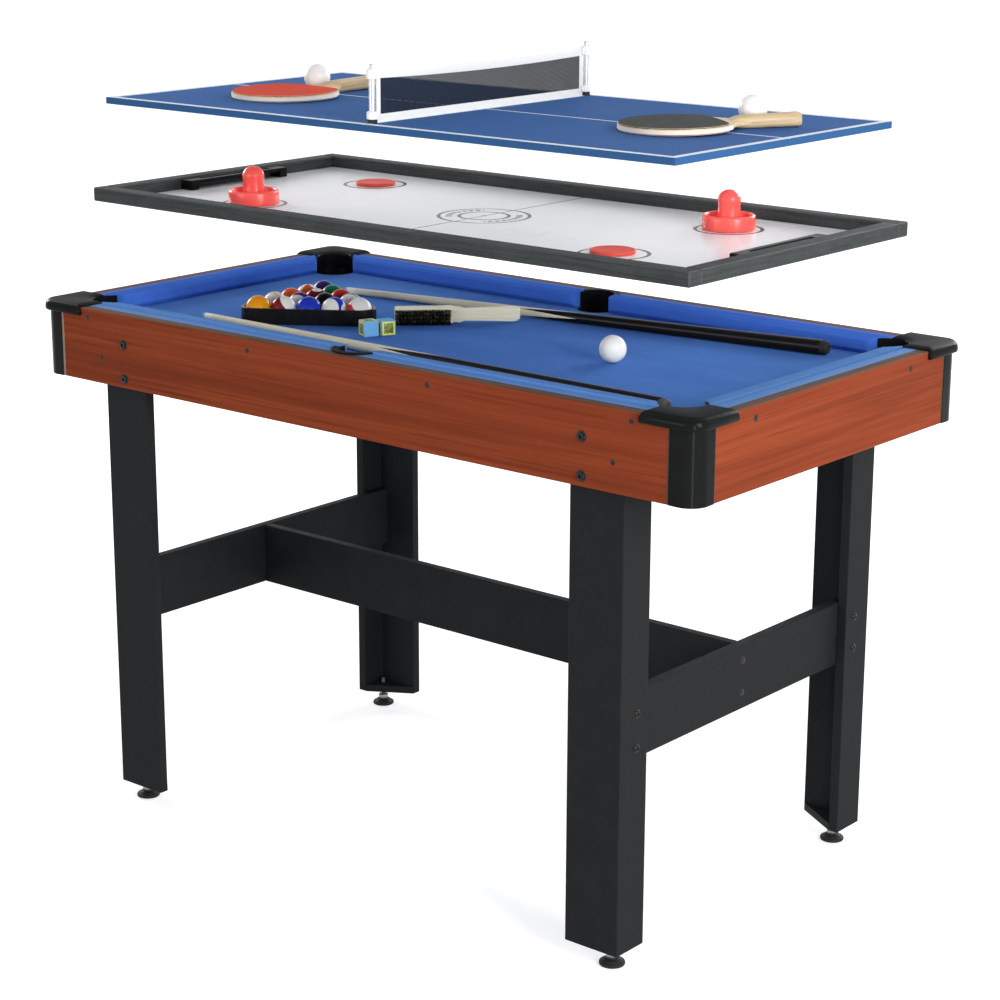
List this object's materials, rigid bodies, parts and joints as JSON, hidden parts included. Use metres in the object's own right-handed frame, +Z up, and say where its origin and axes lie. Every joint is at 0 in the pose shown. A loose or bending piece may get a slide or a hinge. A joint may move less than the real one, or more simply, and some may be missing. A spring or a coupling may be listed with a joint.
{
  "type": "multi game table",
  "caption": "Pool table on L-shaped legs with two lift-off boards, a glide hockey board and a tennis board with net, and their balls, cues, pushers and paddles.",
  "frame": {"origin": "on the floor under the middle of the table", "axes": "+X along the table's length, the front long side faces -Y, +Z up"},
  "size_m": [1.232, 0.653, 1.1753],
  "materials": {
    "wood": "red-brown wood-grain laminate, satin",
    "bed": "board covered with blue cloth",
    "cushion": "rubber covered with blue cloth",
    "black_plastic": "fine-textured black",
    "black_wood": "black laminated board",
    "white_sheet": "glossy white sheet",
    "gloss_black": "glossy black",
    "red_plastic": "glossy red",
    "blue_board": "painted board, satin",
    "grey_metal": "grey rod with white plastic clips",
    "net": "mesh with white tapes",
    "paddle_red": "plywood faced with red rubber",
    "paddle_black": "plywood faced with black rubber",
    "white_ball": "white celluloid",
    "pool_ball": "glossy resin, coloured and striped",
    "cue_ball": "glossy resin",
    "cue_wood": "varnished maple, dark butt",
    "brush_wood": "light varnished wood",
    "bristle": "black bristles",
    "chalk": "pressed blue chalk"
  },
  "bodies": {
    "table": {"front_apron": "wood", "back_apron": "wood", "left_apron": "wood", "right_apron": "wood", "playing_bed": "bed", "cushion_front_left": "cushion", "cushion_front_right": "cushion", "cushion_back_left": "cushion", "cushion_back_right": "cushion", "cushion_end_left": "cushion", "cushion_end_right": "cushion", "corner_piece_front_left": "black_plastic", "corner_piece_back_left": "black_plastic", "corner_piece_front_right": "black_plastic", "corner_piece_back_right": "black_plastic", "side_pocket_front": "black_plastic", "side_pocket_back": "black_plastic", "leg_front_left": "black_wood", "leg_back_left": "black_wood", "leg_front_right": "black_wood", "leg_back_right": "black_wood", "foot_plate_front_left": "black_wood", "foot_plate_back_left": "black_wood", "foot_plate_front_right": "black_wood", "foot_plate_back_right": "black_wood", "end_stretcher_left": "black_wood", "end_stretcher_right": "black_wood", "centre_stretcher": "black_wood"},
    "leveler_front_left": {"leveler_front_left": "black_plastic"},
    "leveler_back_left": {"leveler_back_left": "black_plastic"},
    "leveler_front_right": {"leveler_front_right": "black_plastic"},
    "leveler_back_right": {"leveler_back_right": "black_plastic"},
    "rack_set": {"racked_balls": "pool_ball", "rack_triangle": "black_plastic"},
    "cue_ball": {"cue_ball": "cue_ball"},
    "cue_back": {"cue_back": "cue_wood"},
    "cue_front": {"cue_front": "cue_wood"},
    "brush": {"brush_handle": "brush_wood", "brush_bristles": "bristle"},
    "chalk_front": {"chalk_front": "chalk"},
    "chalk_back": {"chalk_back": "chalk"},
    "hockey_board": {"hockey_surface": "white_sheet", "hockey_rail_front": "black_wood", "hockey_rail_back": "black_wood", "hockey_rail_left": "black_wood", "hockey_rail_right": "black_wood", "goal_left": "gloss_black", "goal_right": "gloss_black"},
    "pusher_left": {"pusher_left": "red_plastic"},
    "pusher_right": {"pusher_right": "red_plastic"},
    "puck_left": {"puck_left": "red_plastic"},
    "puck_right": {"puck_right": "red_plastic"},
    "tennis_board": {"tennis_board": "blue_board"},
    "net_set": {"net_post_front": "grey_metal", "net_post_back": "grey_metal", "tennis_net": "net"},
    "paddle_red": {"paddle_red": "paddle_red"},
    "paddle_black": {"paddle_black": "paddle_black"},
    "tennis_ball_left": {"tennis_ball_left": "white_ball"},
    "tennis_ball_right": {"tennis_ball_right": "white_ball"}
  },
  "joints": [
    {"name": "leveler_front_left_screw", "type": "slide", "parent": "table", "child": "leveler_front_left", "axis": [0, 0, 1], "range_m": [-0.012, 0]},
    {"name": "leveler_back_left_screw", "type": "slide", "parent": "table", "child": "leveler_back_left", "axis": [0, 0, 1], "range_m": [-0.012, 0]},
    {"name": "leveler_front_right_screw", "type": "slide", "parent": "table", "child": "leveler_front_right", "axis": [0, 0, 1], "range_m": [-0.012, 0]},
    {"name": "leveler_back_right_screw", "type": "slide", "parent": "table", "child": "leveler_back_right", "axis": [0, 0, 1], "range_m": [-0.012, 0]},
    {"name": "rack_slide", "type": "slide", "parent": "table", "child": "rack_set", "axis": [1, 0, 0], "range_m": [-0.14, 0]},
    {"name": "cue_ball_roll", "type": "slide", "parent": "table", "child": "cue_ball", "axis": [1, 0, 0], "range_m": [-0.25, 0.25]},
    {"name": "cue_back_slide", "type": "slide", "parent": "table", "child": "cue_back", "axis": [1, 0, 0], "range_m": [0, 0.06]},
    {"name": "cue_front_slide", "type": "slide", "parent": "table", "child": "cue_front", "axis": [1, 0, 0], "range_m": [-0.12, 0]},
    {"name": "brush_slide", "type": "slide", "parent": "table", "child": "brush", "axis": [1, 0, 0], "range_m": [0, 0.08]},
    {"name": "chalk_front_slide", "type": "slide", "parent": "table", "child": "chalk_front", "axis": [0, 1, 0], "range_m": [-0.03, 0]},
    {"name": "chalk_back_slide", "type": "slide", "parent": "table", "child": "chalk_back", "axis": [1, 0, 0], "range_m": [0, 0.06]},
    {"name": "hockey_board_lift", "type": "slide", "parent": "table", "child": "hockey_board", "axis": [0, 0, 1], "range_m": [-0.132, 0]},
    {"name": "pusher_left_slide", "type": "slide", "parent": "hockey_board", "child": "pusher_left", "axis": [1, 0, 0], "range_m": [-0.12, 0.25]},
    {"name": "pusher_right_slide", "type": "slide", "parent": "hockey_board", "child": "pusher_right", "axis": [1, 0, 0], "range_m": [-0.25, 0.12]},
    {"name": "puck_left_glide", "type": "slide", "parent": "hockey_board", "child": "puck_left", "axis": [1, 0, 0], "range_m": [-0.1, 0.3]},
    {"name": "puck_right_glide", "type": "slide", "parent": "hockey_board", "child": "puck_right", "axis": [1, 0, 0], "range_m": [-0.3, 0.1]},
    {"name": "tennis_board_lift", "type": "slide", "parent": "hockey_board", "child": "tennis_board", "axis": [0, 0, 1], "range_m": [-0.08, 0]},
    {"name": "net_lift", "type": "slide", "parent": "tennis_board", "child": "net_set", "axis": [0, 0, 1], "range_m": [0, 0.1]},
    {"name": "paddle_red_lift", "type": "slide", "parent": "tennis_board", "child": "paddle_red", "axis": [0, 0, 1], "range_m": [0, 0.1]},
    {"name": "paddle_black_lift", "type": "slide", "parent": "tennis_board", "child": "paddle_black", "axis": [0, 0, 1], "range_m": [0, 0.1]},
    {"name": "tennis_ball_left_roll", "type": "slide", "parent": "tennis_board", "child": "tennis_ball_left", "axis": [1, 0, 0], "range_m": [-0.1, 0]},
    {"name": "tennis_ball_right_roll", "type": "slide", "parent": "tennis_board", "child": "tennis_ball_right", "axis": [1, 0, 0], "range_m": [-0.1, 0]}
  ]
}
